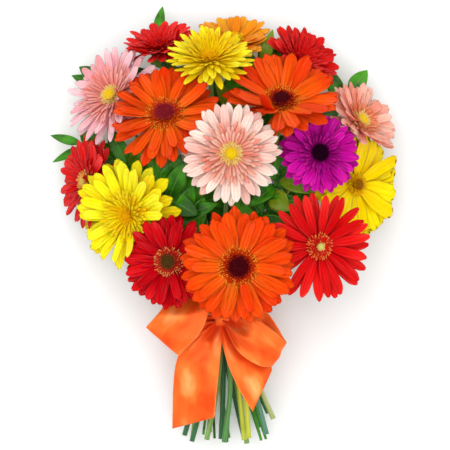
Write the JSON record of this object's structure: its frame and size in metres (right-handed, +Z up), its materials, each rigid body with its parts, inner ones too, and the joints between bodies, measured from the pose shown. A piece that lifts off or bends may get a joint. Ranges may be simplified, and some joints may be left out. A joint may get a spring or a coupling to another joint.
{
  "type": "gerbera bouquet",
  "caption": "Hand-tied round bunch of gerberas in mixed warm colours with ruscus leaves, lying on its back, held by a wide orange satin bow.",
  "frame": {"origin": "middle of the bunch's box on the surface that it lies on", "axes": "+Z up, the way the blooms face; +Y from the tie to the flower heads; +X to the right as seen from above with the heads away"},
  "size_m": [0.3571, 0.4557, 0.1449],
  "materials": {
    "orange_petals": "soft satin petal, orange with redder roots",
    "amber_petals": "soft satin petal, amber",
    "red_petals": "soft satin petal, scarlet",
    "yellow_petals": "soft satin petal, lemon yellow",
    "pink_petals": "soft satin petal, pale pink with salmon roots",
    "salmon_petals": "soft satin petal, salmon pink",
    "magenta_petals": "soft satin petal, magenta",
    "dark_eye": "close dark florets, matt",
    "gold_eye": "close golden florets, matt",
    "cream_eye": "close cream florets, matt",
    "gerbera_stem": "smooth green stem, finely haired",
    "ruscus": "glossy dark green leaf",
    "satin_ribbon": "orange satin ribbon"
  },
  "bodies": {
    "root": {"orange_front_petals": "orange_petals", "orange_front_eye": "dark_eye", "orange_front_stem": "gerbera_stem", "pink_middle_petals": "pink_petals", "pink_middle_eye": "cream_eye", "pink_middle_stem": "gerbera_stem", "red_right_petals": "red_petals", "red_right_eye": "gold_eye", "red_right_stem": "gerbera_stem", "orange_left_petals": "orange_petals", "orange_left_eye": "dark_eye", "orange_left_stem": "gerbera_stem", "orange_right_petals": "orange_petals", "orange_right_eye": "dark_eye", "orange_right_stem": "gerbera_stem", "magenta_petals": "magenta_petals", "magenta_eye": "dark_eye", "magenta_stem": "gerbera_stem", "red_low_left_petals": "red_petals", "red_low_left_eye": "gold_eye", "red_low_left_stem": "gerbera_stem", "yellow_left_petals": "yellow_petals", "yellow_left_eye": "gold_eye", "yellow_left_stem": "gerbera_stem", "yellow_top_petals": "yellow_petals", "yellow_top_eye": "gold_eye", "yellow_top_stem": "gerbera_stem", "yellow_right_petals": "yellow_petals", "yellow_right_eye": "gold_eye", "yellow_right_stem": "gerbera_stem", "pink_left_petals": "pink_petals", "pink_left_eye": "cream_eye", "pink_left_stem": "gerbera_stem", "red_left_petals": "red_petals", "red_left_eye": "gold_eye", "red_left_stem": "gerbera_stem", "salmon_right_petals": "salmon_petals", "salmon_right_eye": "cream_eye", "salmon_right_stem": "gerbera_stem", "red_top_left_petals": "red_petals", "red_top_left_eye": "gold_eye", "red_top_left_stem": "gerbera_stem", "red_top_right_petals": "red_petals", "red_top_right_eye": "gold_eye", "red_top_right_stem": "gerbera_stem", "amber_top_petals": "amber_petals", "amber_top_eye": "gold_eye", "amber_top_stem": "gerbera_stem", "ruscus_top_left": "ruscus", "ruscus_upper_left": "ruscus", "ruscus_left": "ruscus", "ruscus_inner_left": "ruscus", "ruscus_top": "ruscus", "ruscus_upper_right": "ruscus", "ruscus_middle_left": "ruscus", "ruscus_middle_right": "ruscus", "ruscus_back_left": "ruscus", "ruscus_back_right": "ruscus", "ruscus_back": "ruscus", "ribbon_bow": "satin_ribbon"}
  },
  "joints": []
}
